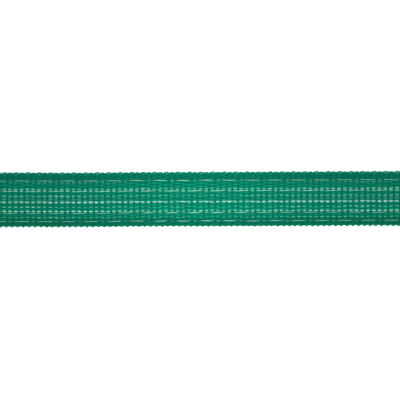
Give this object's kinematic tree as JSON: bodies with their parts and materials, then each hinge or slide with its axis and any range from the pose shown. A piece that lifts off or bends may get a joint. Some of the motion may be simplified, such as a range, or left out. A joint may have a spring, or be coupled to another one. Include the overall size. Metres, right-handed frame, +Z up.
{
  "type": "electric fence tape",
  "caption": "Straight cut length of flat woven green plastic fence tape with fine steel wires woven along it, lying flat.",
  "frame": {"origin": "middle of the underside, on the surface that the tape lies on", "axes": "+X along the tape, +Y across it towards the edge where the weft turns from pick to pick, +Z up out of the flat face"},
  "size_m": [0.1712, 0.02, 0.0007],
  "materials": {
    "weft": "satin translucent monofilament",
    "warp": "satin translucent monofilament",
    "wire": "drawn bright wire"
  },
  "bodies": {
    "root": {"weft_thread": "weft", "conductor_wire_1": "wire", "conductor_wire_2": "wire", "conductor_wire_3": "wire", "conductor_wire_4": "wire", "conductor_wire_5": "wire", "turn_edge_thread_1": "warp", "turn_edge_thread_2": "warp", "turn_edge_thread_3": "warp", "turn_edge_thread_4": "warp", "turn_edge_thread_5": "warp", "loop_edge_thread_1": "warp", "loop_edge_thread_2": "warp", "loop_edge_thread_3": "warp", "warp_thread_1": "warp", "warp_thread_2": "warp", "warp_thread_3": "warp", "warp_thread_4": "warp", "warp_thread_5": "warp", "warp_thread_6": "warp", "warp_thread_7": "warp", "warp_thread_8": "warp", "warp_thread_9": "warp", "warp_thread_10": "warp", "warp_thread_11": "warp", "warp_thread_12": "warp", "warp_thread_13": "warp", "warp_thread_14": "warp", "warp_thread_15": "warp", "warp_thread_16": "warp", "warp_thread_17": "warp", "warp_thread_18": "warp", "warp_thread_19": "warp", "warp_thread_20": "warp", "warp_thread_21": "warp", "warp_thread_22": "warp", "warp_thread_23": "warp"}
  },
  "joints": []
}
